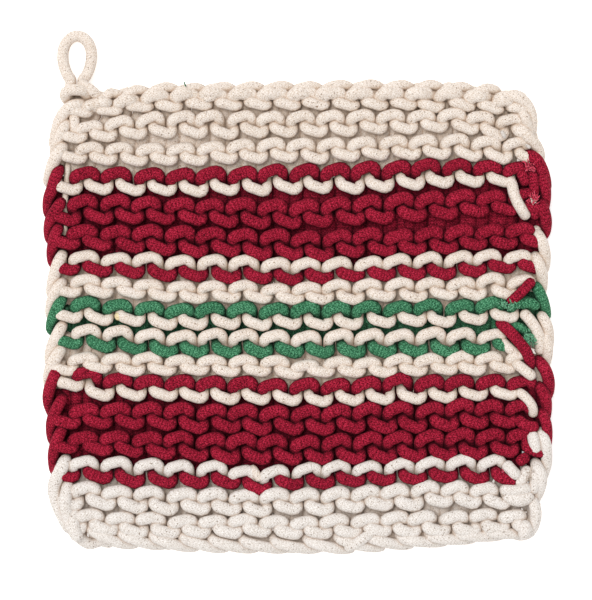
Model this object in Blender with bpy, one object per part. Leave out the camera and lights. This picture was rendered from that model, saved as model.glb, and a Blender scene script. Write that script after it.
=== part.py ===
# Knitted pot holder: a square pad in garter stitch, worked in thick tubular cotton cord, with a
# hanging loop tied in at its top left corner. It lies on its back: +Z out of the shown face, +Y to
# the top of the pad, +X to its right. Metres.
#
# The pad is one solid. The lines of its shown face follow the knitting: every garter ridge has a
# line of stitch heads (arches) and, half a stitch aside, a line of sinkers (bowls), so that each
# stitch stands up in the face's points. The underside has the ridges between them, with the flat
# crests on which the pad lies.

import math

import bmesh
import bpy
import numpy as np

MM = 0.001

# the cord and the stitch
STITCHES = 15                 # stitches in a row, between the two edge chains
POINTS = 4                    # columns of points in a stitch
CORD = 4.6 * MM               # thickness of the loop's cord
THICKNESS = 11.2 * MM         # from the flat crests of the underside to the stitch heads
RIM_HEIGHT = 5.2 * MM         # height of the outermost points of the pad
STRAND_APART = 2.4 * MM       # heads above, and sinkers below, the middle of a ridge
WAVE = 1.4 * MM               # rise and fall of a row of heads or sinkers
SLANT = 0.5 * MM              # lean of each head and sinker
SCALLOP = 0.5 * MM            # bulge of each link of the edge chains

# the garter ridges from the top, in mm: x of the first and last gap between stitches, and the
# height of the ridge's middle at its left end, halfway and at its right end
RIDGES = (  # (first gap, last gap, left, halfway, right)
    (-88.0, 85.6, 73.7, 77.7, 77.0),
    (-88.6, 88.8, 64.2, 67.4, 68.7),
    (-89.8, 92.2, 56.4, 56.4, 58.6),
    (-90.8, 93.0, 45.4, 46.6, 49.1),
    (-90.8, 95.4, 34.2, 33.0, 36.9),
    (-91.2, 95.8, 23.0, 20.6, 25.0),
    (-91.0, 94.6, 12.4, 11.6, 12.8),
    (-90.8, 95.4, 3.6, 1.2, 4.0),
    (-90.4, 95.4, -6.8, -8.8, -6.8),
    (-90.8, 95.0, -16.6, -18.6, -18.2),
    (-92.2, 93.0, -27.4, -28.8, -26.8),
    (-93.8, 94.6, -36.6, -38.4, -36.8),
    (-93.4, 94.6, -47.6, -50.0, -47.2),
    (-93.4, 94.6, -58.8, -61.2, -59.0),
    (-92.0, 94.6, -69.8, -71.4, -69.6),
    (-91.2, 91.8, -80.8, -81.6, -79.8),
    (-90.6, 90.6, -89.4, -92.6, -90.3),
)

# the outline, in mm, before its corners are rounded
SIDES = (  # (y, left edge, right edge)
    (-106.0, -96.6, 94.6),
    (-90.0, -99.0, 96.8),
    (-82.8, -99.6, 98.4),
    (-66.8, -100.2, 101.4),
    (-42.8, -102.2, 102.0),
    (-28.8, -102.8, 102.8),
    (-2.8, -101.2, 100.8),
    (9.2, -100.8, 100.4),
    (21.2, -102.0, 101.4),
    (37.2, -101.8, 101.2),
    (50.4, -100.8, 99.8),
    (61.2, -99.3, 98.4),
    (69.2, -97.2, 96.6),
    (78.0, -94.4, 96.0),
    (86.0, -93.6, 95.6),
)
TOP = (  # (x, y); the low place at the left is where the loop is tied in
    (-94.4, 78.0),
    (-80.8, 78.0),
    (-77.6, 82.4),
    (-67.2, 84.4),
    (-39.2, 85.2),
    (42.8, 86.0),
    (72.8, 84.8),
    (96.0, 83.6),
)
BOTTOM = (  # (x, y)
    (-96.4, -102.6),
    (-59.2, -103.6),
    (-36.8, -104.4),
    (12.8, -104.6),
    (20.8, -105.2),
    (40.8, -103.2),
    (61.4, -101.6),
    (78.6, -98.8),
    (83.0, -97.8),
    (94.6, -98.4),
)
CORNERS = (  # (x side, y side, radius)
    (-1, 1, 5.0 * MM),
    (1, 1, 15.0 * MM),
    (1, -1, 9.0 * MM),
    (-1, -1, 17.0 * MM),
)

# the lines of points down the shown face
FACE_LINES = {  # kind: (wave, lean, place of the gap in a stitch, height, depth of the gap)
    "rim": (0.0, 0.0, 0.0, RIM_HEIGHT, 0.0),
    "chain outside": (0.2, 0.0, 0.25, 10.0 * MM, 1.6 * MM),
    "chain inside": (0.2, 0.0, 0.0, 10.4 * MM, 1.6 * MM),
    "valley": (0.4, 0.0, 0.0, 7.6 * MM, 0.4 * MM),
    "heads": (1.0, 1.0, 0.0, THICKNESS, 3.4 * MM),
    "between": (0.7, 0.0, 0.5, 9.4 * MM, 0.8 * MM),
    "sinkers": (1.0, 1.0, 0.5, 10.7 * MM, 3.2 * MM),
    "furrow": (0.7, 0.0, 0.0, 6.4 * MM, 0.0),
    "cast on": (0.3, 0.0, 0.75, 9.6 * MM, 1.4 * MM),
}
# the columns of the edge chains: how far out between the stitches and the edge, and the height
EDGE_COLUMNS = ((0.30, 8.2 * MM), (0.66, 10.2 * MM), (1.0, RIM_HEIGHT))  # (share, height)

# ends of yarn woven in over the face, in mm
WOVEN_ENDS = (  # (x, y of one end, x, y of the other)
    (85.6, 45.8, 91.6, 30.6),
    (94.6, 5.2, 84.6, -3.6),
    (80.6, -12.6, 93.8, -29.0),
    (91.8, -8.4, 97.6, -21.4),
    (92.0, -55.0, 97.0, -64.6),
    (83.8, -67.6, 88.6, -73.8),
)
END_HEIGHT = 12.4 * MM
END_WIDTH = 2.9 * MM          # from the middle of a woven-in end to its side

# the underside
BACK_COLUMNS = 12
BACK_CREST = 1.7 * MM         # half width of a flat crest
BACK_GROOVE = 1.9 * MM        # height of the grooves between the crests
BACK_INSET = 2.4 * MM         # the rim turns under by this much
BACK_TURN = 1.2 * MM          # height of the turned-under rim

# the hanging loop
LOOP_X = -88.4 * MM
LOOP_TOP = 105.4 * MM
LOOP_BASE = 82.8 * MM         # where the teardrop would come to its point
LOOP_WIDTH = 11.4 * MM        # between the middles of its two sides
LOOP_START = 0.70             # where the legs leave the knot, as an angle round the teardrop
LOOP_POINTS = 26
LEG_END = 80.6 * MM
LEG_DROP = 3.2 * MM           # from the knot down to the surface at the far end of the loop
KNOT_MIDDLE = (-88.2 * MM, 81.0 * MM, 5.6 * MM)
KNOT_RADII = (7.4 * MM, 2.8 * MM, 4.6 * MM)
KNOT_BLUNTNESS = 0.7          # below 1, the wrap's two ends are blunter than an ellipse's


def clear_scene():
    for obj in list(bpy.data.objects):
        bpy.data.objects.remove(obj, do_unlink=True)


def make_collection(name):
    collection = bpy.data.collections.new(name)
    bpy.context.scene.collection.children.link(collection)
    return collection


def make_material(name, color, roughness):
    material = bpy.data.materials.new(name)
    material.use_nodes = True
    shader = material.node_tree.nodes["Principled BSDF"]
    shader.inputs["Base Color"].default_value = (*color, 1.0)
    shader.inputs["Roughness"].default_value = roughness
    shader.inputs["Metallic"].default_value = 0.0
    return material


def ridge_height(ridge, across):
    """Height of a ridge's middle, across going from 0 at its left end to 1 at its right."""
    _, _, left, halfway, right = RIDGES[ridge]
    side = 2 * across - 1
    bow = (left + right) / 2 - halfway
    return (halfway + (right - left) / 2 * side + bow * side * side) * MM


def table_value(table, where, column):
    keys = [row[0] for row in table]
    values = [row[column] for row in table]
    return float(np.interp(where / MM, keys, values)) * MM


def dip(phase, where):
    """1 at the given place in a stitch, falling to 0 a quarter of a stitch from it."""
    return max(0.0, math.cos(2 * math.pi * (phase - where)))


def face_lines():
    """The lines down the shown face: (kind, ridge, its share of the way to the pad's edge)."""
    lines = [("rim", 0, 1.0), ("chain outside", 0, 0.78), ("chain inside", 0, 0.45),
             ("valley", 0, 0.20), ("sinkers", 0, 0.0)]
    for ridge in range(1, len(RIDGES)):
        lines += [("furrow", ridge, 0.0), ("heads", ridge, 0.0), ("between", ridge, 0.0),
                  ("sinkers", ridge, 0.0)]
    last = len(RIDGES) - 1
    return lines + [("valley", last, 0.25), ("cast on", last, 0.62), ("rim", last, 1.0)]


def line_height(kind, ridge, share, across, x):
    """Height on the pad of a line, before its wave."""
    middle = ridge_height(ridge, across)
    if kind == "heads":
        return middle + STRAND_APART
    if kind == "between":
        return middle
    if kind == "furrow":
        return (middle + ridge_height(ridge - 1, across)) / 2
    sinkers = middle - STRAND_APART
    if ridge == 0:
        return sinkers + (table_value(TOP, x, 1) - sinkers) * share
    return sinkers + (table_value(BOTTOM, x, 1) - sinkers) * share


def round_corner(x, y):
    """Moves a point in a corner's square to its place in the rounded corner."""
    for side_x, side_y, radius in CORNERS:
        table = TOP if side_y > 0 else BOTTOM
        corner_x = table_value(SIDES, y, 1 if side_x < 0 else 2)
        corner_y = table_value(table, x, 1)
        a = side_x * (x - corner_x) / radius + 1
        b = side_y * (y - corner_y) / radius + 1
        if a > 0 and b > 0:
            a, b = min(a, 1.0), min(b, 1.0)
            x = corner_x + side_x * radius * (a * math.sqrt(1 - b * b / 2) - 1)
            y = corner_y + side_y * radius * (b * math.sqrt(1 - a * a / 2) - 1)
    return x, y


def face_point(line, column):
    """Place of one point of the shown face."""
    kind, ridge, share = line
    wave, lean, gap, height, depth = FACE_LINES[kind]
    first, last = RIDGES[ridge][0] * MM, RIDGES[ridge][1] * MM
    inner = column - len(EDGE_COLUMNS)
    steps = STITCHES * POINTS
    across = min(max(inner / steps, 0.0), 1.0)
    phase = across * STITCHES
    x = first + (last - first) * across
    outward = max(-inner, inner - steps)
    y = line_height(kind, ridge, share, across, x)
    if outward > 0:
        reach, edge_height = EDGE_COLUMNS[outward - 1]
        left = inner < 0
        edge = table_value(SIDES, y, 1 if left else 2)
        link = -1.0 if kind == "furrow" else 0.4
        x += (edge - x) * reach + (-1 if left else 1) * SCALLOP * link * reach
        y = line_height(kind, ridge, share, across, x)
        z = edge_height + (0.8 * MM * link if outward == 2 else 0.0)
        if kind == "rim":
            z = RIM_HEIGHT
        return x, y, z
    y += wave * WAVE * math.cos(2 * math.pi * (phase - 0.5))
    y -= lean * SLANT * math.sin(2 * math.pi * phase)
    if kind == "rim":
        y += math.copysign(SCALLOP, y) * math.cos(2 * math.pi * (phase - 0.5))
    return x, y, height - depth * dip(phase, gap)


def raise_woven_end(x, y, z):
    """Lifts a point that lies under a woven-in end to that end's surface."""
    for x1, y1, x2, y2 in WOVEN_ENDS:
        start = np.array((x1, y1)) * MM
        along = np.array((x2, y2)) * MM - start
        point = np.array((x, y)) - start
        share = min(max(float(point @ along) / float(along @ along), 0.0), 1.0)
        away = float(np.linalg.norm(point - along * share)) / END_WIDTH
        if away < 1:
            z = max(z, END_HEIGHT - 2.4 * MM * away * away)
    return z


def back_lines():
    """The lines of the underside: (ridge or None, place from its middle, height)."""
    lines = [("top", 0, 0.0, BACK_TURN)]
    for ridge in range(len(RIDGES) - 1):
        lines += [("groove", ridge, 0.0, BACK_GROOVE), ("crest", ridge, 1.0, 0.0),
                  ("crest", ridge, -1.0, 0.0)]
    last = len(RIDGES) - 1
    return lines + [("groove", last, 0.0, BACK_GROOVE), ("foot", last, -1.0, 0.0),
                    ("bottom", last, 0.0, BACK_TURN)]


def back_point(line, column):
    """Place of one point of the underside."""
    kind, ridge, offset, height = line
    inner = column - 1
    across = min(max(inner / BACK_COLUMNS, 0.0), 1.0)
    first, last = RIDGES[ridge][0] * MM, RIDGES[ridge][1] * MM
    x = first + (last - first) * across
    y = ridge_height(ridge, across)
    if kind == "crest":
        y = (y + ridge_height(ridge + 1, across)) / 2 + offset * BACK_CREST
    elif kind == "foot":
        y += (table_value(BOTTOM, x, 1) - y) * 0.5
    if inner < 0:
        x, height = table_value(SIDES, y, 1) + BACK_INSET, BACK_TURN
    elif inner > BACK_COLUMNS:
        x, height = table_value(SIDES, y, 2) - BACK_INSET, BACK_TURN
    if kind == "top":
        y = table_value(TOP, x, 1) - BACK_INSET
    elif kind == "bottom":
        y = table_value(BOTTOM, x, 1) + BACK_INSET
    return x, y, height


def grid_mesh(columns, lines, place):
    """A grid of columns by lines of points, each point put where place(line, column) says."""
    grid = bmesh.new()
    bmesh.ops.create_grid(grid, x_segments=columns - 1, y_segments=len(lines) - 1, size=0.5)
    for vert in grid.verts:
        column = round((vert.co.x + 0.5) * (columns - 1))
        line = round((0.5 - vert.co.y) * (len(lines) - 1))
        vert.co = place(lines[line], column)
    return grid


def make_panel(collection, material):
    def shown(line, column):
        x, y, z = face_point(line, column)
        x, y = round_corner(x, y)
        return x, y, raise_woven_end(x, y, z) if line[0] != "rim" else z

    def hidden(line, column):
        x, y, z = back_point(line, column)
        x, y = round_corner(x, y)
        return x, y, z

    mesh = bpy.data.meshes.new("knitted_panel")
    face = grid_mesh(STITCHES * POINTS + 1 + 2 * len(EDGE_COLUMNS), face_lines(), shown)
    face.to_mesh(mesh)
    face.free()
    back = grid_mesh(BACK_COLUMNS + 3, back_lines(), hidden)
    bmesh.ops.reverse_faces(back, faces=back.faces)
    back_mesh = bpy.data.meshes.new("underside")
    back.to_mesh(back_mesh)
    back.free()

    solid = bmesh.new()
    solid.from_mesh(mesh)
    solid.from_mesh(back_mesh)
    bpy.data.meshes.remove(back_mesh)
    rims = [edge for edge in solid.edges if edge.is_boundary]
    bmesh.ops.bridge_loops(solid, edges=rims)
    bmesh.ops.triangulate(solid, faces=solid.faces)
    bmesh.ops.recalc_face_normals(solid, faces=solid.faces)
    solid.to_mesh(mesh)
    solid.free()

    panel = bpy.data.objects.new("knitted_panel", mesh)
    panel.data.materials.append(material)
    collection.objects.link(panel)
    return panel


def teardrop(angle):
    """Point of the loop's middle line: 0 at the point of the teardrop, pi at its far end."""
    length = LOOP_TOP - CORD / 2 - LOOP_BASE
    rise = length * (1 - math.cos(angle)) / 2
    widest = 0.850            # greatest value of the sine product below
    aside = LOOP_WIDTH / 2 * math.sin(angle) * math.sqrt(math.sin(angle / 2)) / widest
    drop = LEG_DROP * math.sin(angle / 2)
    return LOOP_X - aside, LOOP_BASE + rise, KNOT_MIDDLE[2] - drop


def make_loop(collection, material):
    turns = np.linspace(LOOP_START, 2 * math.pi - LOOP_START, LOOP_POINTS)
    points = [teardrop(angle) for angle in turns]
    first, last = points[0], points[-1]
    points = [(first[0], LEG_END, KNOT_MIDDLE[2])] + points + [(last[0], LEG_END, KNOT_MIDDLE[2])]
    curve = bpy.data.curves.new("hanging_loop", "CURVE")
    curve.dimensions = "3D"
    curve.bevel_depth = CORD / 2
    curve.bevel_resolution = 3
    curve.use_fill_caps = True
    spline = curve.splines.new("POLY")
    spline.points.add(len(points) - 1)
    for spot, place in zip(spline.points, points):
        spot.co = (*place, 1.0)
    guide = bpy.data.objects.new("loop_curve", curve)
    collection.objects.link(guide)
    bpy.context.view_layer.update()
    mesh = bpy.data.meshes.new_from_object(guide.evaluated_get(bpy.context.evaluated_depsgraph_get()))
    bpy.data.objects.remove(guide, do_unlink=True)
    mesh.name = "hanging_loop"
    tube = bmesh.new()
    tube.from_mesh(mesh)
    bmesh.ops.remove_doubles(tube, verts=tube.verts, dist=0.00001)
    bmesh.ops.recalc_face_normals(tube, faces=tube.faces)
    tube.to_mesh(mesh)
    tube.free()
    loop = bpy.data.objects.new("hanging_loop", mesh)
    loop.data.materials.clear()
    loop.data.materials.append(material)
    collection.objects.link(loop)
    return loop


def make_knot(collection):
    bpy.ops.mesh.primitive_uv_sphere_add(segments=24, ring_count=12, radius=1.0)
    knot = bpy.context.object
    knot.name = "knot_shape"
    for vert in knot.data.vertices:
        blunt = math.copysign(abs(vert.co.x) ** KNOT_BLUNTNESS, vert.co.x)
        shape = (blunt, vert.co.y, vert.co.z)
        vert.co = [shape[axis] * KNOT_RADII[axis] + KNOT_MIDDLE[axis] for axis in range(3)]
    for old in knot.users_collection:
        old.objects.unlink(knot)
    collection.objects.link(knot)
    knot.hide_render = True
    knot.display_type = "WIRE"
    return knot


def main():
    clear_scene()
    parts = make_collection("knitted_pot_holder")
    cutters = make_collection("shapes_joined_in")
    knit = make_material("knitted_cotton", (0.80, 0.73, 0.66), 0.95)
    cord = make_material("cotton_cord", (0.82, 0.76, 0.70), 0.95)
    make_panel(parts, knit)
    loop = make_loop(parts, cord)
    join = loop.modifiers.new("tie_in_knot", "BOOLEAN")
    join.operation = "UNION"
    join.object = make_knot(cutters)


main()
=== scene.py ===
# Looks of the knitted pot holder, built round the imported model.
# Places are in millimetres in the model's frame, and become metres where a mesh is made.
import math
import random

import bpy
import numpy as np
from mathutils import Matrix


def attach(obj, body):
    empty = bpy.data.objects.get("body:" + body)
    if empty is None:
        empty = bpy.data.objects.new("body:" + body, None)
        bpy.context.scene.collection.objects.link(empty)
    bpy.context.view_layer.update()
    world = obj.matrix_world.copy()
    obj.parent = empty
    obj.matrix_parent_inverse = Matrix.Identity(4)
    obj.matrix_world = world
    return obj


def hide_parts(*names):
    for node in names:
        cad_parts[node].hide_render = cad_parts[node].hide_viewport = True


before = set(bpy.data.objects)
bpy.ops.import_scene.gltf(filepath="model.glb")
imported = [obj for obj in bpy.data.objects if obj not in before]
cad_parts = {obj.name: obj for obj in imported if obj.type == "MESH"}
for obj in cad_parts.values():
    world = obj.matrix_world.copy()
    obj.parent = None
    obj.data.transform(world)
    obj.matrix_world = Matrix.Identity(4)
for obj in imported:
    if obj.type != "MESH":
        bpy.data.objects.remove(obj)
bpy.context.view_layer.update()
dice = random.Random(17)
mm = 0.001


def deselectAll():
    bpy.ops.object.select_all(action="DESELECT")


def linearColour(hexCode):  # sRGB hex to linear light
    channels = [int(hexCode[i:i + 2], 16) / 255 for i in (1, 3, 5)]
    return [c / 12.92 if c <= 0.04045 else ((c + 0.055) / 1.055) ** 2.4 for c in channels] + [1.0]


def addNode(tree, kind, *values, **settings):
    # values, and settings that start with a capital, are numbers or sockets for the node's inputs,
    # and the other settings are its properties
    node = tree.nodes.new(kind)
    for name, value in settings.items():
        if name[0].islower():
            setattr(node, name, value)
    inputs = list(zip(node.inputs, values))
    inputs += [(node.inputs[name.replace("_", " ")], value)
               for name, value in settings.items() if name[0].isupper()]
    for socket, value in inputs:
        if isinstance(value, bpy.types.NodeSocket):
            tree.links.new(value, socket)
        elif value is not None:
            socket.default_value = value
    return node


lineStep = 0.8      # mm between the points of a smooth line
fewestSteps = 4     # however short the line
between = 24        # points worked out between two given ones


def evenSteps(line, step):
    # the same line in even steps along its first three columns
    away = np.r_[0, np.cumsum(np.linalg.norm(np.diff(line[:, :3], axis=0), axis=1))]
    count = max(int(away[-1] / step), fewestSteps)
    even = np.linspace(0, away[-1], count + 1)
    return np.stack([np.interp(even, away, line[:, i]) for i in range(line.shape[1])], axis=1)


def smoothLine(points, step=lineStep):
    # a smooth line through the points, with any number of columns
    points = np.array(points, float)
    ends = np.vstack([2 * points[0] - points[1], points, 2 * points[-1] - points[-2]])
    t = np.linspace(0, 1, between, endpoint=False)[:, None]
    pieces = []
    for a, b, c, d in zip(ends, ends[1:], ends[2:], ends[3:]):
        pieces.append(0.5 * (2 * b + (c - a) * t + (2 * a - 5 * b + 4 * c - d) * t ** 2
                             + (3 * b - a - 3 * c + d) * t ** 3))
    return evenSteps(np.vstack(pieces + [points[-1:]]), step)


cotton = {
    "wales": 13,          # rows of V round the cord, drawn a little coarser than real
    "course": 1.2,        # mm along the cord for one V
    "lean": 1.6,          # how steep the V is
    "uneven": 1.3,        # how far single strands stray from the pattern
    "groove": (2.8, 0.3),  # how fast an arm rises beside its groove, and from what height
    "fibre": 0.5,         # mm, size of the lighter and darker fibres
    "patch": 9.0,         # mm, size of the slow change of tone
    "fleck": 0.7,         # mm, size of the dark seed flecks
    "fleckEdge": 0.07,    # how soft their edges are
    "relief": 0.10,       # mm, height of a V
    "fibreRelief": 1.2,   # height of the fibres, in heights of a V
    "bump": 0.9,          # how strongly that relief shows
    "fibreTone": 1.7, "stitchTone": 0.50, "patchTone": 0.22, "toneFrom": -0.72,  # what each adds to the tone
    "toneStops": (0.10, 0.45, 0.80),  # tones at which the cord is dark, has its own colour and is light
    "openSky": 0.80, "pressedSky": 0.25,  # share of the sky seen where a line between cords begins and is full
    "roughness": 0.94, "ior": 1.45, "gloss": 0.2, "downRoughness": 0.6,   # matt, with light caught in its down
}


def knittedCotton(name, recipe):
    # soft tubular cotton cord, knitted as fine stocking stitch: matt and a little fluffy, with V shapes
    # 1 mm wide and seed flecks
    material = bpy.data.materials.new(name)
    material.use_nodes = True
    tree = material.node_tree
    shader = tree.nodes["Principled BSDF"]
    light, base, dark = (linearColour(c) for c in recipe["tones"])
    creaseShadeColour, creaseReach, creaseShadeStrength = recipe["crease"]
    place = addNode(tree, "ShaderNodeTexCoord")
    spread = addNode(tree, "ShaderNodeSeparateXYZ", place.outputs["UV"])

    # the V shapes: across a wale the arm runs from -0.5 to 0.5, and the strands lean away from the middle
    wale = addNode(tree, "ShaderNodeMath", spread.outputs["X"], operation="FRACT")
    offset = addNode(tree, "ShaderNodeMath", wale.outputs[0], 0.5, operation="SUBTRACT")
    arm = addNode(tree, "ShaderNodeMath", offset.outputs[0], operation="ABSOLUTE")
    course = addNode(tree, "ShaderNodeMath", spread.outputs["Y"], cotton["course"], operation="DIVIDE")
    fibres = addNode(tree, "ShaderNodeTexNoise", place.outputs["Object"],
                     Scale=1 / (cotton["fibre"] * mm), Detail=3.0, Roughness=0.65)
    strayed = addNode(tree, "ShaderNodeMath", fibres.outputs["Fac"], cotton["uneven"], course.outputs[0],
                      operation="MULTIPLY_ADD")
    leaning = addNode(tree, "ShaderNodeMath", arm.outputs[0], cotton["lean"], strayed.outputs[0],
                      operation="MULTIPLY_ADD")
    angle = addNode(tree, "ShaderNodeMath", leaning.outputs[0], 2 * math.pi, operation="MULTIPLY")
    wave = addNode(tree, "ShaderNodeMath", angle.outputs[0], operation="SINE")
    strand = addNode(tree, "ShaderNodeMath", wave.outputs[0], 0.5, 0.5, operation="MULTIPLY_ADD")
    ridge = addNode(tree, "ShaderNodeMath", arm.outputs[0], 0.25, operation="PINGPONG")   # 0 in the grooves
    groove = addNode(tree, "ShaderNodeMath", ridge.outputs[0], *cotton["groove"], operation="MULTIPLY_ADD")
    stitch = addNode(tree, "ShaderNodeMath", strand.outputs[0], groove.outputs[0], operation="MULTIPLY")
    relief = addNode(tree, "ShaderNodeMath", fibres.outputs["Fac"], cotton["fibreRelief"], stitch.outputs[0],
                     operation="MULTIPLY_ADD")
    bump = addNode(tree, "ShaderNodeBump", Strength=cotton["bump"], Distance=cotton["relief"] * mm,
                   Height=relief.outputs[0])
    tree.links.new(bump.outputs[0], shader.inputs["Normal"])

    # the tone: fibres, slow patches, and the V shapes, drawn along their strands and darker in their grooves,
    # where the darkening is painted shade
    patches = addNode(tree, "ShaderNodeTexNoise", place.outputs["Object"],
                      Scale=1 / (cotton["patch"] * mm), Detail=2.0)
    worn = addNode(tree, "ShaderNodeMath", fibres.outputs["Fac"], cotton["fibreTone"], cotton["toneFrom"],
                   operation="MULTIPLY_ADD")
    drawn = addNode(tree, "ShaderNodeMath", stitch.outputs[0], cotton["stitchTone"], worn.outputs[0],
                    operation="MULTIPLY_ADD")
    tone = addNode(tree, "ShaderNodeMath", patches.outputs["Fac"], cotton["patchTone"], drawn.outputs[0],
                   operation="MULTIPLY_ADD")
    tones = addNode(tree, "ShaderNodeValToRGB", tone.outputs[0])
    ramp = tones.color_ramp
    darkAt, baseAt, lightAt = cotton["toneStops"]
    ramp.elements[0].position, ramp.elements[0].color = darkAt, dark
    ramp.elements[1].position, ramp.elements[1].color = lightAt, light
    ramp.elements.new(baseAt).color = base

    flecks = addNode(tree, "ShaderNodeTexNoise", place.outputs["Object"],
                     Scale=1 / (cotton["fleck"] * mm), Detail=1.0)
    speck = addNode(tree, "ShaderNodeMapRange", flecks.outputs["Fac"],
                    recipe["fleckFrom"], recipe["fleckFrom"] + cotton["fleckEdge"])
    mix = addNode(tree, "ShaderNodeMix", data_type="RGBA", Factor=speck.outputs[0])
    mix.inputs[7].default_value = linearColour(recipe["fleck"])
    tree.links.new(tones.outputs["Color"], mix.inputs[6])

    # painted shade: where little of the sky is seen, in the creases where two cords meet and in deep furrows,
    # the colour is mixed towards a dark crease colour
    crease = addNode(tree, "ShaderNodeAmbientOcclusion", samples=12, Distance=creaseReach * mm)
    paintedCreaseShade = addNode(tree, "ShaderNodeMapRange", crease.outputs["AO"],
                     cotton["openSky"], cotton["pressedSky"], 0.0, creaseShadeStrength)
    creaseShadedColour = addNode(tree, "ShaderNodeMix", data_type="RGBA", Factor=paintedCreaseShade.outputs[0])
    creaseShadedColour.inputs[7].default_value = linearColour(creaseShadeColour)
    tree.links.new(mix.outputs[2], creaseShadedColour.inputs[6])
    tree.links.new(creaseShadedColour.outputs[2], shader.inputs["Base Color"])

    shader.inputs["Roughness"].default_value = cotton["roughness"]
    shader.inputs["IOR"].default_value = cotton["ior"]
    shader.inputs["Specular IOR Level"].default_value = cotton["gloss"]
    shader.inputs["Sheen Weight"].default_value = recipe["down"]
    shader.inputs["Sheen Roughness"].default_value = cotton["downRoughness"]
    shader.inputs["Sheen Tint"].default_value = light
    return material


# light, own and dark tone; colour of the painted shade in the creases between cords, how far it reaches in mm
# and how strong; colour of the seed flecks and how rare they are; how downy
dyeRecipes = {
    "ecru": {
        "tones": ("#F0E8E1", "#E4D9CF", "#C6B29E"), "crease": ("#CBB39B", 3.6, 0.72),
        "fleck": "#846A54", "fleckFrom": 0.66, "down": 0.10,
    },
    "pale ecru": {
        "tones": ("#F0ECE8", "#E2DBD5", "#C5BAAF"), "crease": ("#C8B4A2", 3.6, 0.74),
        "fleck": "#84705E", "fleckFrom": 0.66, "down": 0.10,
    },
    "red": {
        "tones": ("#CE3450", "#8E0D28", "#38000A"), "crease": ("#1C0006", 4.4, 0.84),
        "fleck": "#2A0108", "fleckFrom": 0.66, "down": 0.05,
    },
    "green": {
        "tones": ("#76B890", "#377652", "#103622"), "crease": ("#06180D", 4.2, 0.82),
        "fleck": "#0C2617", "fleckFrom": 0.66, "down": 0.06,
    },
    "straw": {
        "tones": ("#F3E6C4", "#E6D4A8", "#C4A878"), "crease": ("#98826D", 2.2, 0.3),
        "fleck": "#98826D", "fleckFrom": 0.72, "down": 0.10,
    },
    # the red and green fray fibres have lighter tones than their cords: a painted highlight on the loose fibres
    "highlit red fluff": {
        "tones": ("#FF90A4", "#E8405C", "#A01230"), "crease": ("#5E0A1D", 1.0, 0.2),
        "fleck": "#5E0A1D", "fleckFrom": 0.8, "down": 0.15,
    },
    "highlit green fluff": {
        "tones": ("#B4E6C8", "#70BC90", "#2F6B49"), "crease": ("#1A4430", 1.0, 0.2),
        "fleck": "#1A4430", "fleckFrom": 0.8, "down": 0.15,
    },
}
dyes = {}
for dye, recipe in dyeRecipes.items():
    dyes[dye] = knittedCotton(f"{dye.replace(' ', '_')}_knitted_cotton", recipe)
print("materials ready")


cordSides = 12      # corners of the cord's outline
lieAbove = 0.94     # a cord's middle is at least this share of its radius above the table top
closeCaps = 0.01    # mm, points nearer than this are made one


def cordSection(name, depth):
    # the cord's outline, one millimetre from its middle to its side and depth of that from front to back
    deselectAll()
    bpy.ops.curve.primitive_bezier_circle_add(radius=mm)
    section = bpy.context.object
    section.name = name
    section.scale = (1, depth, 1)
    bpy.ops.object.transform_apply(scale=True)
    section.data.resolution_u = cordSides // 4
    return section


def cordPiece(name, lines, dye, section, node="knitted_panel", flat=True):
    # one mesh of tubes, each along a line of (x, y, z, radius), and none under the table top
    curve = bpy.data.curves.new(name, "CURVE")
    curve.dimensions = "3D"
    curve.twist_mode = "Z_UP" if flat else "MINIMUM"
    curve.bevel_mode = "OBJECT"
    curve.bevel_object = section
    curve.use_fill_caps = True
    for line in lines:
        spline = curve.splines.new("POLY")
        spline.points.add(len(line) - 1)
        for spot, (x, y, z, radius) in zip(spline.points, line):
            spot.co = (x * mm, y * mm, max(z, radius * lieAbove) * mm, 1.0)
            spot.radius = radius
    piece = bpy.data.objects.new(name, curve)
    bpy.context.scene.collection.objects.link(piece)
    deselectAll()
    piece.select_set(True)
    bpy.context.view_layer.objects.active = piece
    bpy.ops.object.convert(target="MESH")
    piece = bpy.context.object
    spreadPattern(piece.data, lines)
    bpy.ops.object.mode_set(mode="EDIT")
    bpy.ops.mesh.select_all(action="SELECT")
    bpy.ops.mesh.remove_doubles(threshold=closeCaps * mm)   # closes the caps
    bpy.ops.object.mode_set(mode="OBJECT")
    bpy.ops.object.shade_smooth()
    piece.data.materials.clear()
    piece.data.materials.append(dyes[dye])
    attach(piece, "root")
    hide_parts(node)
    return piece


def spreadPattern(mesh, lines):
    # the pattern's map: across, one for each row of V round the cord; up, millimetres along it
    places = mesh.uv_layers[0].data
    spots = np.zeros(len(places) * 2, np.float32)
    places.foreach_get("uv", spots)
    spots = spots.reshape(-1, 2)
    capCorners = (cordSides - 2) * 3
    start = len(lines) * 2 * capCorners   # the end caps come first
    for line in lines:
        length = np.linalg.norm(np.diff(line[:, :3], axis=0), axis=1).sum()
        stop = start + (len(line) - 1) * cordSides * 4
        spots[start:stop] = spots[start:stop, ::-1] * (cotton["wales"], length)
        start = stop
    places.foreach_set("uv", spots.ravel())


flatSection = cordSection("flattened_cord_section", 0.88)
roundSection = cordSection("round_cord_section", 0.92)

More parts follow.
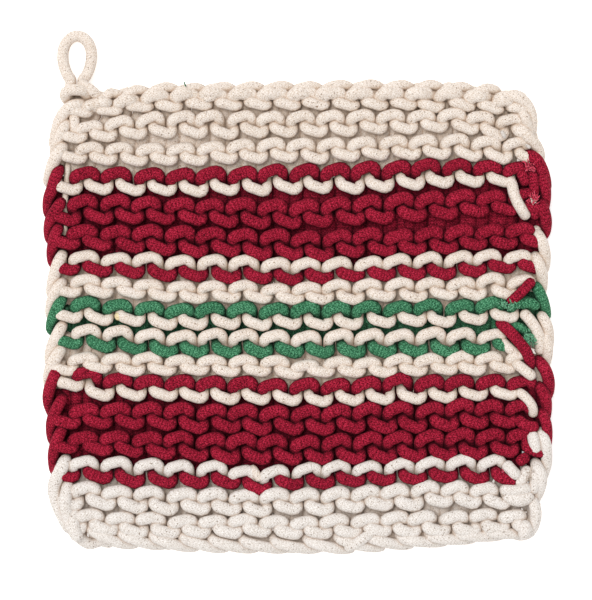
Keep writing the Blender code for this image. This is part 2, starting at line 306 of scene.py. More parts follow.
knitting = {
    "stitches": 15,
    "headRadius": {"ecru": 2.25, "red": 2.5, "green": 2.45},
    "sinkerRadius": {"ecru": 2.2, "red": 2.4, "green": 2.35},
    "looser": 0.35, "looseFrom": 15,    # from that ridge down the knitting is looser and its cord fatter
    "legRadius": 1.95,      # the cord is squeezed where two rows pass each other
    "backRadius": 3.1,
    "middle": 5.6,          # height of the pad's middle
    "reach": 3.5,           # from there to the middle of a cord at the front or back
    "backApart": 4.8,       # heads and sinkers of the back, from the middle of their ridge
    "topLower": 1.0,        # the heads of the top ridge lie that much lower, under the bind-off
    "upright": 0.105,       # makes the legs stand upright
    "headBegin": -0.32, "sinkerBegin": -0.38, "end": 0.32,   # a row goes that far past its gaps, in stitches
    "headWidth": -0.075, "sinkerWidth": 0.075,  # legs further out or in, in stitches
    "headShift": 0.035, "sinkerShift": -0.035,  # legs of a head lie to the right, those of a sinker to the left
    "headSlant": 0.09, "sinkerSlant": 0.11,     # heads rise and sinkers fall to the right, in ridges
    "footWidth": -0.05,     # and the feet behind stand closer
    "twist": 0.5,           # the left half of each head and sinker lies further forward
    "wander": 0.32, "heightWander": 0.12, "radiusWander": 0.025,   # unevenness of the hand knitting
    "draws": 20,            # random amounts for a row, enough for all its stitches
    "samples": 1100,        # points worked out along a row
    "step": 1.05,           # mm between those that are kept
}
sagging = (  # row, where in it, mm that it hangs lower there, over how many stitches
    (5, 5.8, 2.8, 0.8), (6, 6.1, 2.4, 0.4), (11, 0.3, -1.8, 0.3), (11, 0.85, 0.8, 0.2),
    (12, 0, -3.4, 0.35), (12, 1, 0.8, 0.3), (16, 0, -1.4, 0.3),
)
# ridges whose last stitch is lost among the woven-in ends
cutHeads, cutSinkers = (9, 14, 15), (3, 7, 8, 9, 10, 11, 12, 14, 15)
# share of the way up to a head or down to a sinker, and how far forward from the back the cord is there
divingAt = (0, 0.35, 0.5, 0.6, 0.68, 0.76, 0.84, 0.92, 1)
divingTo = (0, 0.20, 0.32, 0.38, 0.46, 0.60, 0.80, 0.95, 1)
squeezedAt = (0, 0.3, 0.5, 0.72, 0.9, 1)   # where on that way up or down the cord's radius is given
measuredAt = (-84.0, -55.2, 0.8, 64.8, 82.8)  # x of the five places that the next table gives
# from the top: x of the first and last gap, how far the middle strays to the right, tops of the heads and
# bottoms of the sinkers
ridges = (
    (-87.2, 88.9, 1.0, (78.4, 82.4, 83.6, 83.6, 82.0), (69.6, 72.8, 73.2, 73.2, 71.6)),
    (-89.9, 91.3, 0.0, (69.3, 72.9, 73.2, 73.8, 72.0), (60.5, 61.8, 62.2, 64.2, 61.4)),
    (-89.7, 93.2, -0.7, (60.6, 60.3, 62.2, 63.8, 62.9), (51.3, 50.8, 52.0, 53.5, 51.8)),
    (-91.9, 93.8, 1.3, (50.6, 50.1, 51.9, 54.1, 52.6), (39.7, 38.8, 39.4, 42.3, 42.4)),
    (-92.6, 96.1, 0.5, (39.8, 39.0, 37.4, 41.3, 42.0), (27.1, 27.6, 25.5, 29.9, 31.4)),
    (-93.1, 94.6, 2.1, (27.4, 27.2, 25.2, 27.2, 28.1), (17.0, 15.2, 12.7, 16.0, 17.7)),
    (-92.8, 93.8, 2.4, (17.0, 16.1, 14.0, 16.9, 17.7), (7.0, 4.8, 3.5, 5.6, 7.8)),
    (-92.2, 95.2, 1.4, (7.6, 5.6, 4.4, 7.2, 7.6), (-1.7, -3.5, -5.1, -3.1, -3.2)),
    (-92.0, 95.4, 0.7, (-1.3, -3.9, -3.6, -2.3, -1.6), (-12.0, -14.3, -15.0, -12.8, -11.8)),
    (-91.3, 96.3, 0.5, (-12.5, -14.2, -14.9, -14.3, -14.3), (-23.4, -25.6, -26.2, -25.7, -24.1)),
    (-93.4, 94.2, 2.6, (-23.4, -24.0, -25.9, -23.5, -23.1), (-33.0, -32.9, -34.5, -33.2, -32.7)),
    (-91.4, 95.7, 0.2, (-30.8, -32.9, -34.0, -32.3, -32.5), (-42.2, -43.4, -45.2, -43.8, -42.8)),
    (-93.1, 94.9, 2.0, (-43.8, -43.6, -44.7, -42.4, -43.1), (-54.3, -55.2, -57.1, -55.1, -53.8)),
    (-93.2, 95.3, 1.5, (-55.1, -55.3, -56.8, -54.3, -54.3), (-64.5, -67.2, -69.1, -67.2, -65.7)),
    (-92.7, 95.7, 1.3, (-65.3, -66.8, -67.8, -65.0, -64.2), (-76.1, -78.3, -79.0, -75.9, -77.1)),
    (-91.8, 91.8, 2.6, (-75.4, -77.4, -78.2, -74.8, -75.7), (-87.1, -89.1, -89.3, -85.8, -86.4)),
    (-90.3, 91.3, 1.8, (-86.1, -88.4, -89.1, -86.7, -87.2), (-96.8, -98.6, -98.8, -97.6, -96.8)),
)
# the stripes from the cast-on edge up, with their rows
stripes = (("ecru", 5), ("red", 6), ("ecru", 4), ("green", 2), ("ecru", 4), ("red", 6), ("ecru", 7))
rowDyes = [dye for dye, rows in stripes for row in range(rows)]
backTop = (77.6, 80.8, 81.4, 81.6, 78.4)             # outermost cords of the back, at the same five places
backBottom = (-98.6, -99.8, -101.0, -97.8, -95.6)
# y, and how far to the side a row may reach there
leftEnds = ((-102.0, -84.8), (-98.8, -88.0), (-94.8, -90.0), (-88.8, -92.0), (-82.8, -94.0), (-70.0, -97.0))
rightEnds = ((-99.0, 87.0), (-94.8, 92.4), (-90.8, 93.6), (-78.8, 95.6), (-60.0, 97.8), (4.0, 97.4),
             (8.0, 96.2), (16.0, 96.2), (22.0, 97.2), (49.2, 97.2), (57.2, 95.6), (61.2, 94.0),
             (65.2, 92.4), (73.2, 90.8), (77.2, 88.4), (81.2, 80.0))


def shownRadius(kind, ridge, dye):
    return knitting[kind + "Radius"][dye] + (knitting["looser"] if ridge >= knitting["looseFrom"] else 0)


def headHeight(ridge, x, dye="ecru"):
    return np.interp(x, measuredAt, ridges[ridge][3]) - shownRadius("head", ridge, dye)


def sinkerHeight(ridge, x, dye="ecru"):
    return np.interp(x, measuredAt, ridges[ridge][4]) + shownRadius("sinker", ridge, dye)


def ridgeMiddle(ridge, x):
    return (headHeight(ridge, x) + sinkerHeight(ridge, x)) / 2


def perStitch(turn, arch, size):
    # a random amount for each sinker and each head, blended along the row
    sinkers = [dice.gauss(0, size) for i in range(knitting["draws"])]
    heads = [dice.gauss(0, size) for i in range(knitting["draws"])]
    atSinker = np.take(sinkers, np.round(turn).astype(int) + 1)
    atHead = np.take(heads, np.floor(turn).astype(int) + 1)
    return atSinker * (1 - arch) + atHead * arch


def rowLine(row):
    # the cord's way through one row, counted from the cast-on edge: odd rows have their heads in front
    shown = row % 2 == 1
    kind = "head" if shown else "sinker"
    ridge = len(ridges) - (row + 1) // 2
    dye = rowDyes[row - 1]
    k = knitting
    turn = np.linspace(k[kind + "Begin"], k["stitches"] + k["end"], k["samples"])
    arch = (1 - np.cos(2 * np.pi * turn)) / 2          # 0 at a sinker, 1 at a head
    if ridge in (cutHeads if shown else cutSinkers):   # the last head or sinker stays at the back
        arch = np.where(turn > k["stitches"] - (1 if shown else 0.5), 0 if shown else 1, arch)

    width, shift, slant = (k[kind + what] for what in ("Width", "Shift", "Slant"))
    if shown:
        width = width + k["footWidth"] * (1 - arch)
    sway = np.sin(2 * np.pi * turn)
    place = turn + k["upright"] * np.sin(4 * np.pi * turn) + width * sway + shift * sway ** 2
    first, last, stray = ridges[ridge][:3]
    share = place / k["stitches"]
    x = first + (last - first) * share + 4 * stray * share * (1 - share)

    middle = ridgeMiddle(ridge, x)
    if shown:
        high = headHeight(ridge, x, dye) - (0 if ridge else k["topLower"])
        low = np.interp(x, measuredAt, backBottom)
        if ridge + 1 < len(ridges):
            low = (middle + ridgeMiddle(ridge + 1, x)) / 2 - k["backApart"]
    else:
        low = sinkerHeight(ridge, x, dye)
        high = np.interp(x, measuredAt, backTop)
        if ridge:
            high = (middle + ridgeMiddle(ridge - 1, x)) / 2 + k["backApart"]
    lean = slant * (headHeight(ridge, x) - sinkerHeight(ridge, x))
    side = np.sin(2 * np.pi * place)
    x = x + perStitch(turn, arch, k["wander"])
    rise = arch ** 2 * (3 - 2 * arch)
    y = low + (high - low) * rise - lean * side + perStitch(turn, arch, k["wander"])
    for where, down, over in (sag[1:] for sag in sagging if sag[0] == row):
        y = y - down * np.exp(-((turn - where) / over) ** 2)
    x = np.clip(x, np.interp(y, *zip(*leftEnds)), np.interp(y, *zip(*rightEnds)))

    shownShare = rise if shown else 1 - rise
    front = 2 * np.interp(shownShare, divingAt, divingTo) - 1    # -1 at the back, 1 in front
    z = k["middle"] + k["reach"] * front + perStitch(turn, arch, k["heightWander"])
    z = z + k["twist"] * side * (1 if shown else -1) * front
    back, leg, fat = k["backRadius"], k["legRadius"], shownRadius(kind, ridge, dye)
    radius = np.interp(shownShare, squeezedAt, (back, back, leg, leg, fat, fat))
    radius = radius * (1 + perStitch(turn, arch, k["radiusWander"]))
    return evenSteps(np.stack([x, y, z, radius], axis=1), k["step"])


def knitRows():
    names = ("bottom", "lower", "low_middle", "middle", "upper_middle", "upper", "top")
    below = 0
    for name, (dye, rows) in zip(names, stripes):
        lines = [rowLine(below + row) for row in range(1, rows + 1)]
        below += rows
        shade = "pale ecru" if name == "bottom" else dye
        piece = cordPiece(f"{name}_{dye}_rows", lines, shade, flatSection)
        print("knitted", piece.name, len(lines), "rows,", len(piece.data.polygons), "faces")


knitRows()

edgeChains = {
    "front": 9.4, "fall": 4.6,        # height of a link's round top, and how much lower it lies further down
    "turnUnder": 4.4, "back": 2.7,    # height where it turns under, and behind
    "lead": 0.35,                     # it begins that share of its first step before its first point
    "begin": (-4.2, 0.75), "top": (-0.9, 0.96),  # its first two points: height from there, share of the radius
    "crown": 0.4,                     # its round top stands that much further forward
    "thinner": 0.9,                   # share of the radius from where it turns under
    "tail": ((1.4, -1.8, 0.4), (5.0, -3.4, 0.0)),   # its last two: towards the pad, up, and above the back
    "lowestTail": ((3.0, 0.6, 0.0), (8.0, 2.0, 0.0)),
    "left": (  # dye, radius, then points of each link from its inner top to its outer bottom
        ("ecru", 2.5, (-87.2, 75.6), (-90.2, 75.0), (-93.2, 72.8), (-95.6, 69.2), (-97.0, 64.8),
         (-98.0, 60.0)),
        ("ecru", 2.2, (-92.8, 67.6), (-94.4, 64.8), (-96.4, 60.8), (-98.0, 56.8)),
        ("ecru", 2.5, (-94.4, 58.4), (-96.0, 56.0), (-98.0, 52.4), (-99.4, 48.4), (-100.4, 45.2)),
        ("red", 2.5, (-96.0, 49.0), (-97.2, 45.8), (-98.4, 42.0), (-100.0, 37.6), (-100.4, 32.8)),
        ("red", 2.5, (-95.2, 36.0), (-96.8, 33.2), (-98.8, 30.0), (-99.8, 26.4), (-99.8, 22.4)),
        ("red", 2.3, (-96.0, 26.0), (-97.2, 23.2), (-98.2, 19.6), (-98.8, 16.0), (-98.8, 12.8)),
        ("ecru", 2.4, (-94.8, 14.8), (-96.2, 11.6), (-97.6, 7.6), (-98.6, 3.6), (-99.2, 0.0)),
        ("ecru", 2.3, (-94.8, 4.0), (-96.4, 1.6), (-98.0, -1.6), (-99.2, -4.8), (-99.6, -8.4)),
        ("green", 2.4, (-94.8, -2.8), (-96.4, -6.0), (-98.2, -10.0), (-99.4, -14.0)),
        ("ecru", 2.4, (-94.8, -13.6), (-96.4, -16.8), (-98.2, -20.4), (-99.4, -24.0), (-99.8, -27.6)),
        ("ecru", 2.5, (-95.2, -22.8), (-96.8, -25.6), (-98.8, -29.2), (-100.0, -33.2), (-100.0, -37.2)),
        ("red", 2.4, (-96.6, -30.6), (-98.0, -34.2), (-99.8, -39.2), (-100.2, -43.6), (-99.2, -47.6)),
        ("red", 2.4, (-94.8, -42.8), (-96.4, -46.0), (-98.2, -50.0), (-99.0, -54.0), (-98.8, -58.4)),
        ("red", 2.4, (-94.8, -55.2), (-96.2, -58.4), (-97.6, -62.4), (-98.2, -66.4), (-98.0, -70.8)),
        ("pale ecru", 2.75, (-93.4, -67.4), (-94.6, -70.2), (-96.4, -73.6), (-97.8, -78.0), (-97.0, -83.2),
         (-95.2, -88.0), (-93.2, -92.8)),
        ("pale ecru", 2.6, (-92.4, -77.6), (-93.0, -82.4), (-92.4, -88.0), (-90.4, -93.6), (-87.8, -98.0),
         (-84.0, -100.8)),
    ),
    "right": (
        ("ecru", 2.4, (83.2, 79.0), (87.6, 78.4), (91.2, 76.0), (93.4, 72.0), (93.8, 67.2), (93.2, 62.8)),
        ("ecru", 2.1, (89.6, 73.2), (91.2, 69.6), (92.4, 66.0), (93.6, 62.0)),
        ("ecru", 2.4, (89.2, 66.0), (91.6, 63.2), (94.4, 60.4), (96.4, 57.6), (97.2, 54.4)),
        ("red", 2.7, (92.8, 55.2), (95.4, 53.2), (97.4, 50.0), (98.8, 46.4), (99.6, 42.8)),
        ("red", 2.2, (97.6, 46.0), (99.0, 42.4), (99.4, 38.4), (99.2, 34.4)),
        ("red", 2.4, (97.6, 35.6), (98.8, 32.0), (99.6, 28.0), (99.4, 24.4)),
        ("ecru", 2.3, (96.4, 23.2), (98.2, 19.2), (99.2, 14.8), (99.2, 10.4)),
        ("ecru", 2.4, (95.6, 14.0), (96.8, 10.4), (98.0, 6.4), (98.0, 1.6)),
        ("green", 2.3, (95.6, 2.4), (97.2, -0.8), (98.8, -4.8), (99.8, -8.8)),
        ("ecru", 2.2, (98.0, -9.6), (99.6, -12.8), (100.6, -16.8), (100.8, -21.2)),
        ("ecru", 2.1, (98.8, -16.8), (100.0, -21.2), (100.0, -25.6), (99.2, -29.6)),
        ("red", 2.5, (96.8, -27.6), (99.0, -30.8), (100.4, -34.8), (100.6, -38.8), (99.6, -42.4)),
        ("red", 2.4, (97.2, -38.0), (98.8, -41.2), (99.6, -45.2), (99.6, -49.6)),
        ("red", 2.2, (98.0, -48.4), (99.4, -52.4), (100.0, -56.8), (100.0, -61.2)),
        ("pale ecru", 2.3, (97.6, -56.4), (99.0, -60.0), (99.6, -64.4), (99.6, -69.2), (98.4, -74.0)),
        ("pale ecru", 2.6, (95.6, -69.2), (97.2, -73.6), (96.8, -78.4), (95.2, -82.8)),
        ("pale ecru", 2.4, (94.4, -84.0), (95.2, -88.0), (94.6, -92.4), (92.8, -96.0), (89.6, -97.6)),
    ),
}


def chainLink(radius, points, inward, lowest):
    # a link's round top lies in front, its lower end turns under the next link and goes back in behind
    s = edgeChains
    top, after, end = np.array(points[0]), np.array(points[1]), points[-1]
    start = top + s["lead"] * (top - after)
    line = []
    for spot, (higher, share) in ((start, s["begin"]), (top, s["top"])):
        line.append((*spot, s["front"] + higher, radius * share))
    for i, (x, y) in enumerate(points[1:-1]):
        share = i / (len(points) - 2)
        line.append((x, y, s["front"] + s["crown"] - s["fall"] * share ** 2 * (3 - 2 * share), radius))
    line.append((*end, s["turnUnder"], radius * s["thinner"]))
    for aside, up, higher in s["lowestTail" if lowest else "tail"]:
        line.append((end[0] + inward * aside, end[1] + up, s["back"] + higher, radius * s["thinner"]))
    return smoothLine(line)


def makeEdgeChains():
    for side, inward in (("left", 1), ("right", -1)):
        chain = edgeChains[side]
        for dye in ("ecru", "pale ecru", "red", "green"):
            links = [chainLink(link[1], link[2:], inward, link is chain[-1])
                     for link in chain if link[0] == dye]
            cordPiece(f"{side}_edge_{dye.replace(' ', '_')}_links", links, dye, roundSection, flat=False)
    print("edge chains ready")


makeEdgeChains()

topChain = {
    "radius": 2.45, "upperRadius": 2.05, "front": 9.5, "behind": 7.4, "unevenLower": 0.15, "unevenUpper": 0.12,
    "joints": (-83.6, -74.0, -63.2, -51.6, -40.4, -28.8, -17.2, -5.2, 6.0, 18.4, 30.4, 42.8, 54.4, 66.4,
               77.2, 87.6),
    "lowerEdge": ((-84.0, 72.8), (-79.0, 73.1), (-68.4, 73.8), (-57.2, 75.8), (-46.0, 76.7), (60.8, 76.7),
                  (72.0, 75.4), (82.8, 73.6)),
    "topEdge": ((-81.0, 81.6), (-71.0, 82.8), (-61.0, 83.8), (-51.0, 84.6), (-27.0, 85.0), (5.0, 85.2),
                (31.0, 85.8), (57.0, 85.6), (71.0, 84.8), (79.0, 84.0), (85.0, 81.6)),
    "lowerArm": (  # from which joint, right, up, forward and share of the radius
        (0, 1.7, -1.3, -5.0, 0.8), (0, 2.0, -0.8, -1.5, 0.97), (0, 4.4, 0.9, 0.2, 1.06),
        (0, 7.0, 0.6, 0.2, 1), (1, -2.8, 0.1, -1.0, 0.93), (1, -0.4, 0.3, -3.4, 0.85),
        (1, 1.8, 1.2, -5.8, 0.8),
    ),
    "upperStart": ((0, 2.4, 0.2, -1.8, 0.9), (0, 4.8, 2.2, -1.0, 1)),   # inside the lower arm
    "upperArm": ((0, 7.6, -0.7, 0.9, 1), (1, -1.0, 0, 0, 1), (1, 2.0, -0.7, -1.4, 0.95),
                 (1, 4.0, -2.6, -4.0, 0.85)),
    "under": (-82, 86, -4.2, 3.2, 2.6),   # first and last x, up from the edge, height and radius
}
castOn = {
    "radius": 2.3, "uneven": 0.2,
    "across": 17, "level": -1.2,   # how far to the right a strand reaches the lower edge, and from what level
    "starts": ((-84.4, -94.6), (-72.8, -96.0), (-60.4, -97.2), (-48.4, -97.6), (-36.4, -98.4),
               (-24.0, -98.8), (-11.2, -99.2), (2.0, -98.8), (14.4, -98.0), (26.0, -97.2), (39.2, -97.6),
               (50.8, -96.8), (62.0, -95.8), (73.2, -94.8)),
    "lowerEdge": ((-87.2, -102.4), (-79.0, -103.0), (-59.0, -103.4), (-39.0, -104.6), (-15.0, -105.0),
                  (1.0, -105.0), (21.0, -105.2), (31.0, -104.4), (41.0, -103.6), (57.0, -102.4),
                  (73.0, -100.8), (87.0, -99.0), (93.0, -98.8)),
    "strand": (  # right, up, share of the fall to the lower edge, height and share of the radius
        (0.4, 1.8, 0, 4.5, 0.8), (2.6, -0.7, 0, 8.1, 0.94), (7.4, -1.2, 0.36, 9.2, 1),
        (12.6, -1.2, 0.80, 7.6, 1), (17.2, -1.2, 1, 4.7, 0.94), (19.8, -0.6, 1, 3.6, 0.85),
        (16.6, 1.4, 1, 2.5, 0.85), (12.4, 4.0, 1, 2.6, 0.85), (11.2, 7.8, 1, 2.8, 0.9),
        (11.0, 11.0, 1, 3.0, 0.9),
    ),
    "under": (-84, 86, 6.6, 3.2, 2.8),
}
edgePoints = 15   # points along a strand that lies behind an edge


def alongEdge(table, x):
    return float(np.interp(x, [p[0] for p in table], [p[1] for p in table]))


def underStrand(edge, under):
    # a plain strand behind, along an edge, so that no slit shows through
    first, last, up, height, radius = under
    places = np.linspace(first, last, edgePoints)
    return smoothLine([(x, alongEdge(edge, x) + up, height, radius) for x in places])


def armPoints(steps, joints, y, z, radius):
    return [(joints[joint] + right, y + up, z + forward, radius * share)
            for joint, right, up, forward, share in steps]


def makeTopChain():
    # each stitch of the bind-off has a fat arm in front, from its blunt lower left end, and a thinner arm
    # behind it along the top
    s, lower, upper = topChain, [], []
    for joints in zip(s["joints"], s["joints"][1:]):
        y = alongEdge(s["lowerEdge"], sum(joints) / 2) + s["radius"] + dice.gauss(0, s["unevenLower"])
        lower.append(smoothLine(armPoints(s["lowerArm"], joints, y, s["front"], s["radius"])))
        top = alongEdge(s["topEdge"], joints[1]) - s["upperRadius"] + dice.gauss(0, s["unevenUpper"])
        upper.append(smoothLine(armPoints(s["upperStart"], joints, y, s["front"], s["upperRadius"])
                                + armPoints(s["upperArm"], joints, top, s["behind"], s["upperRadius"])))
    under = underStrand(s["topEdge"], s["under"])
    cordPiece("bind_off_chain", lower + upper + [under], "ecru", roundSection, flat=False)
    print("bind-off chain ready")


def makeCastOn():
    s, strands = castOn, []
    for x, y in s["starts"]:
        x = x + dice.gauss(0, s["uneven"])
        fall = alongEdge(s["lowerEdge"], x + s["across"]) + s["radius"] - (y + s["level"])
        strands.append(smoothLine([(x + right, y + up + share * fall, height, s["radius"] * thick)
                                   for right, up, share, height, thick in s["strand"]]))
    under = underStrand(s["lowerEdge"], s["under"])
    cordPiece("cast_on_edge", strands + [under], "pale ecru", roundSection, flat=False)
    print("cast-on edge ready")


makeTopChain()
makeCastOn()

# dye, radius and points of the ends that are woven in or carried up the sides, and of odd stitches beside them
wovenEnds = (
    ("ecru", 2.3, (84.4, 46.0, 7.5), (85.6, 43.6, 9.8), (86.4, 40.0, 10.6), (88.0, 36.0, 10.6),
     (90.0, 32.8, 10.0), (92.0, 30.0, 7.5)),
    ("ecru", 1.25, (-92.2, 54.0, 4.0), (-92.4, 50.0, 6.6), (-92.8, 45.2, 7.0), (-93.2, 40.4, 6.8),
     (-93.5, 35.6, 7.0), (-93.6, 30.8, 6.0), (-93.6, 26.0, 6.8), (-93.5, 22.0, 4.6)),
    ("ecru", 1.3, (-94.4, -26.8, 4.6), (-94.2, -30.8, 6.8), (-94.2, -34.0, 6.6), (-94.4, -37.2, 4.6)),
    ("ecru", 2.1, (-90.4, 72.4, 6.6), (-89.6, 69.6, 8.8), (-89.6, 66.4, 8.8), (-90.4, 62.8, 6.4)),
    ("ecru", 2.2, (86.4, -27.6, 8.6), (88.8, -29.4, 10.6), (92.0, -32.0, 10.8), (94.8, -34.0, 9.6)),
    ("ecru", 2.1, (81.2, -18.8, 8.8), (83.6, -21.2, 9.8), (86.4, -23.6, 9.6), (89.6, -25.6, 7.8)),
    ("ecru", 2.0, (87.6, -39.2, 8.4), (90.0, -40.8, 9.8), (92.4, -43.2, 10.2), (94.0, -46.0, 9.8),
     (94.4, -49.6, 7.4)),
    ("pale ecru", 2.5, (93.6, -55.4, 8.8), (94.2, -58.0, 9.8), (94.8, -60.8, 9.9), (95.4, -64.4, 9.0)),
    ("pale ecru", 2.5, (82.8, -67.8, 8.8), (84.4, -69.8, 9.9), (86.6, -72.2, 9.9), (88.8, -74.0, 8.8)),
    ("pale ecru", 2.5, (81.0, -78.8, 8.6), (83.6, -79.0, 9.9), (87.2, -79.2, 10.2), (90.8, -78.6, 9.8),
     (93.2, -77.6, 8.6)),
    ("pale ecru", 2.9, (82.4, -80.2, 8.0), (85.2, -82.0, 9.4), (88.6, -82.8, 9.9), (91.6, -82.0, 9.4),
     (93.6, -80.4, 8.0)),
    ("pale ecru", 2.4, (92.4, -69.6, 7.6), (91.2, -72.4, 9.0), (89.2, -75.2, 9.2), (87.2, -77.2, 8.4)),
    ("pale ecru", 2.3, (94.4, -69.2, 7.8), (95.0, -72.8, 9.2), (94.8, -76.8, 9.2), (93.6, -80.4, 8.2)),
    ("ecru", 2.3, (89.8, -7.2, 8.0), (93.2, -11.2, 9.8), (96.0, -15.6, 10.0), (97.2, -20.0, 9.4),
     (97.4, -24.4, 7.0)),
    ("pale ecru", 2.75, (90.6, -91.4, 8.8), (90.8, -93.6, 10.5), (90.7, -96.0, 10.3), (90.4, -98.0, 8.8)),
    ("pale ecru", 2.45, (-89.0, -86.8, 7.4), (-89.8, -90.4, 9.6), (-89.2, -94.8, 9.9), (-87.6, -99.2, 8.6)),
    ("ecru", 2.2, (86.0, 9.4, 3.2), (90.0, 8.6, 3.0), (94.0, 8.0, 3.2)),
    ("green", 2.2, (87.0, -10.6, 3.2), (91.0, -12.4, 3.0), (95.0, -14.4, 3.2)),
    ("red", 2.2, (-91.0, -53.0, 3.2), (-87.0, -54.8, 3.0), (-82.5, -56.5, 3.2)),
    ("ecru", 2.0, (95.2, 26.8, 5.4), (96.0, 24.4, 6.6), (97.2, 22.0, 6.0)),
    ("ecru", 1.8, (-18.8, -69.8, 6.8), (-17.6, -71.2, 8.8), (-16.2, -73.4, 9.2), (-15.2, -75.4, 8.2)),
    ("pale ecru", 0.4, (-44.8, -98.2, 10.4), (-44.2, -99.0, 10.8), (-43.8, -100.0, 10.4)),
    ("pale ecru", 0.8, (81.4, 65.0, 10.6), (81.8, 64.0, 11.6), (82.4, 62.8, 11.6), (83.0, 62.0, 10.8)),
    ("pale ecru", 0.7, (91.0, 59.4, 10.4), (91.6, 59.0, 11.2), (92.4, 58.4, 11.2), (93.0, 58.2, 10.4)),
    ("red", 2.2, (93.2, 49.2, 8.0), (94.0, 46.8, 9.0), (94.6, 42.8, 9.2), (94.8, 38.8, 8.6)),
    ("red", 2.1, (93.6, 35.6, 8.2), (94.6, 32.8, 9.0), (95.6, 29.6, 7.6)),
    ("red", 2.3, (88.4, 49.2, 8.4), (90.4, 46.4, 9.2), (91.4, 42.8, 8.4)),
    ("red", 2.1, (84.0, -4.0, 9.0), (86.8, -2.0, 10.6), (90.0, 1.0, 11.0), (92.4, 3.6, 10.8),
     (94.4, 5.2, 9.8)),
    ("red", 2.4, (81.0, -11.0, 6.4), (82.0, -12.8, 9.0), (84.2, -15.0, 10.4), (86.4, -17.2, 11.0),
     (88.8, -20.0, 11.0), (91.2, -23.2, 10.8), (92.6, -26.4, 10.0), (93.4, -30.4, 7.4)),
    ("red", 2.4, (87.2, -49.6, 8.4), (90.0, -52.2, 9.6), (93.2, -53.6, 9.8), (96.4, -53.2, 8.4)),
    ("red", 2.3, (88.0, -68.8, 8.2), (90.2, -66.4, 9.4), (92.8, -65.6, 8.8)),
    ("red", 1.9, (90.4, -54.8, 7.8), (91.2, -58.8, 8.6), (92.0, -62.8, 7.8)),
    ("green", 2.2, (88.4, -5.2, 8.4), (91.2, -4.0, 9.6), (94.0, -4.2, 9.8), (96.2, -6.4, 9.0)),
    ("pale ecru", 2.2, (18.8, -102.4, 8.4), (22.8, -100.4, 10.0), (26.8, -97.8, 10.2), (30.4, -95.6, 8.4)),
    ("green", 2.6, (88.0, -1.2, 4.6), (92.8, -0.8, 4.8), (97.2, -2.0, 4.6)),
    ("green", 2.1, (84.8, -12.8, 7.0), (88.0, -13.6, 8.4), (91.2, -15.2, 8.6), (93.2, -18.4, 7.6)),
    ("green", 0.28, (-45.6, 84.6, 11.2), (-45.2, 83.4, 11.6), (-44.7, 82.4, 11.3)),
    ("straw", 1.5, (-72.6, -8.0, 8.8), (-72.0, -9.4, 9.6), (-71.2, -10.8, 9.2)),
)
frays = (  # dye, x, y, width, height, how many fibres
    ("highlit red fluff", 94.0, 37.2, 3.2, 3.6, 70),
    ("highlit red fluff", 93.2, 50.8, 4.0, 3.2, 40),
    ("highlit green fluff", 84.8, -4.8, 8.0, 2.8, 80),
    ("highlit green fluff", 92.8, -18.0, 3.6, 5.2, 60),
    ("ecru", 86.4, -81.2, 10.4, 5.6, 60),
    ("highlit red fluff", 82.4, -71.6, 2.4, 2.4, 4),
    ("ecru", 94.4, 36.4, 1.6, 1.6, 8),
    ("ecru", 92.0, -72.4, 3.2, 5.6, 24),
)
bluntEnds = (0.8, 0.12)   # an end is rounded over that share of its radius, and how blunt it is
fraying = {
    "length": (0.9, 2.0), "height": (9.6, 11.8), "radius": (0.2, 0.34),
    "root": -1.2, "tip": (0.3, 0.3, 0.5),   # the root lies deeper, the tip further up, forward and thinner
    "step": 0.4,
}


def makeWovenEnds():
    over, thinnest = bluntEnds
    for dye in ("ecru", "pale ecru", "red", "green", "straw"):
        lines = [smoothLine([(*point, end[1]) for point in end[2:]]) for end in wovenEnds if end[0] == dye]
        for line in lines:
            steps = np.minimum(np.arange(len(line)), np.arange(len(line))[::-1])
            away = steps * lineStep / (over * line[:, 3].mean())
            line[:, 3] *= np.sqrt(np.clip(1 - (1 - np.clip(away, 0, 1)) ** 2, thinnest, 1))
        cordPiece(f"woven_in_{dye.replace(' ', '_')}_ends", lines, dye, roundSection, flat=False)
    print("woven-in ends ready")


def makeFrays():
    s = fraying
    up, forward, thinner = s["tip"]
    for dye in ("ecru", "highlit red fluff", "highlit green fluff"):
        fibres = []
        for x, y, width, height, count in (fray[1:] for fray in frays if fray[0] == dye):
            for i in range(count):
                a, b = x + dice.uniform(-0.5, 0.5) * width, y + dice.uniform(-0.5, 0.5) * height
                turn, length = dice.uniform(0, 2 * math.pi), dice.uniform(*s["length"])
                z, thin = dice.uniform(*s["height"]), dice.uniform(*s["radius"])
                across, rise = math.cos(turn) * length, math.sin(turn) * length
                fibres.append(smoothLine([
                    (a, b, z + s["root"], thin), (a + 0.5 * across, b + 0.5 * rise, z, thin),
                    (a + across, b + rise + up, z + forward, thin * thinner),
                ], s["step"]))
        cordPiece(f"frayed_{dye.replace(' ', '_')}", fibres, dye, roundSection, flat=False)
    print("frays ready")


makeWovenEnds()
makeFrays()

hangingLoop = {  # the route of the model's own loop
    "diameter": 4.6, "x": -88.9, "top": 105.8, "base": 83.2, "width": 11.4, "start": 0.70, "points": 26,
    "legEnd": 80.6, "legDrop": 3.2, "knotHeight": 5.6, "step": 0.6,
    "widest": 0.850,   # greatest value of the product of sines in loopPoint
}


def loopPoint(angle):
    s = hangingLoop
    rise = (s["top"] - s["diameter"] / 2 - s["base"]) * (1 - math.cos(angle)) / 2
    aside = s["width"] / 2 * math.sin(angle) * math.sqrt(math.sin(angle / 2)) / s["widest"]
    return s["x"] - aside, s["base"] + rise, s["knotHeight"] - s["legDrop"] * math.sin(angle / 2)


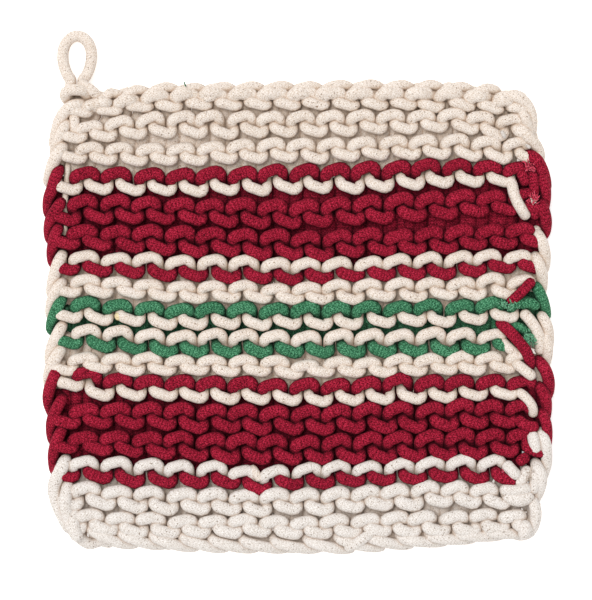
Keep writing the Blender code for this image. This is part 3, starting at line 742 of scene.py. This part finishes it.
def makeLoop():
    s = hangingLoop
    turns = np.linspace(s["start"], 2 * math.pi - s["start"], s["points"])
    route = [loopPoint(angle) for angle in turns]
    feet = [(spot[0], s["legEnd"], s["knotHeight"]) for spot in (route[0], route[-1])]
    line = smoothLine([feet[0], *route, feet[1]], s["step"])
    tube = np.c_[line, np.full(len(line), s["diameter"] / 2)]
    loop = cordPiece("hanging_loop_cord", [tube], "ecru", roundSection, node="hanging_loop", flat=False)


knot = {  # a soft wrap round the loop's feet, and the end that leaves it to the right
    "wrap": (2.5, (-91.8, 77.4, 4.6), (-93.0, 78.6, 7.8), (-92.9, 80.3, 9.8), (-91.2, 81.1, 10.6),
             (-88.8, 81.3, 10.8), (-86.4, 81.0, 10.0), (-84.9, 79.8, 7.8), (-84.4, 78.2, 5.2)),
    "leaving": (2.15, (-86.8, 84.2, 7.0), (-85.0, 82.6, 9.2), (-82.8, 81.2, 9.6), (-80.8, 79.4, 8.6),
                (-79.6, 77.4, 6.0)),
    "behind": (2.4, (-93.0, 80.8, 3.0), (-88.0, 81.4, 2.6), (-83.0, 81.0, 2.8)),
    "lower": (2.4, (-93.4, 77.0, 3.0), (-88.0, 77.6, 2.8), (-81.0, 77.4, 2.8)),
}


def makeKnot():
    lines = [smoothLine([(*point, strand[0]) for point in strand[1:]]) for strand in knot.values()]
    cordPiece("loop_knot", lines, "ecru", roundSection, node="hanging_loop", flat=False)
    print("knot ready")


makeLoop()
makeKnot()

studio = {
    "floor": "#F5F4F2", "floorGlow": 0.45, "floorSize": 6.0, "floorBelow": 0.3, "sky": 0.47,
    "frameHeight": 240.0, "faceHeight": 11.2,  # mm that the picture takes in, at the height of the shown face
    "middle": (-0.8, -2.8), "cameraHeight": 1.25, "sensor": 36.0, "clip": (0.05, 20),
    "lamps": (  # name, strength, softness in degrees, tilt from straight down, side it comes from
        ("key_light", 2.1, 40, 26, 140),
        ("fill_light", 0.8, 70, 20, -50),
    ),
}


def softLight(name, strength, softness, tilt, side):
    light = bpy.data.lights.new(name, "SUN")
    light.energy, light.angle = strength, math.radians(softness)
    lamp = bpy.data.objects.new(name, light)
    bpy.context.scene.collection.objects.link(lamp)
    lamp.rotation_euler = (0, math.radians(tilt), math.radians(side))
    lamp.location = (0, 0, 1)


def setUpStudio():
    deselectAll()
    bpy.ops.mesh.primitive_plane_add(size=studio["floorSize"], location=(0, 0, -studio["floorBelow"] * mm))
    floor = bpy.context.object
    floor.name = "floor"
    paper = bpy.data.materials.new("matt_white_paper")
    paper.use_nodes = True
    shader = paper.node_tree.nodes["Principled BSDF"]
    shader.inputs["Base Color"].default_value = linearColour(studio["floor"])
    shader.inputs["Roughness"].default_value = 0.95
    shader.inputs["Specular IOR Level"].default_value = 0.0
    shader.inputs["Emission Color"].default_value = (1, 1, 1, 1)
    shader.inputs["Emission Strength"].default_value = studio["floorGlow"]   # a lit table shows no shadow
    floor.data.materials.append(paper)
    for lamp in studio["lamps"]:
        softLight(*lamp)
    world = bpy.data.worlds.new("studio_sky")
    world.use_nodes = True
    sky = world.node_tree.nodes["Background"]
    sky.inputs["Color"].default_value = (1, 1, 1, 1)
    sky.inputs["Strength"].default_value = studio["sky"]
    bpy.context.scene.world = world
    lens = bpy.data.cameras.new("camera")
    camera = bpy.data.objects.new("camera", lens)
    bpy.context.scene.collection.objects.link(camera)
    height = studio["cameraHeight"]
    camera.location = (studio["middle"][0] * mm, studio["middle"][1] * mm, height)
    lens.sensor_width = studio["sensor"]
    lens.lens = studio["sensor"] * (height - studio["faceHeight"] * mm) / (studio["frameHeight"] * mm)
    lens.clip_start, lens.clip_end = studio["clip"]
    bpy.context.scene.camera = camera
    bpy.context.scene.view_settings.view_transform = "Standard"   # plain colours, as in a catalogue picture
    print("studio ready")


setUpStudio()
for section in (flatSection, roundSection):
    bpy.data.objects.remove(section, do_unlink=True)
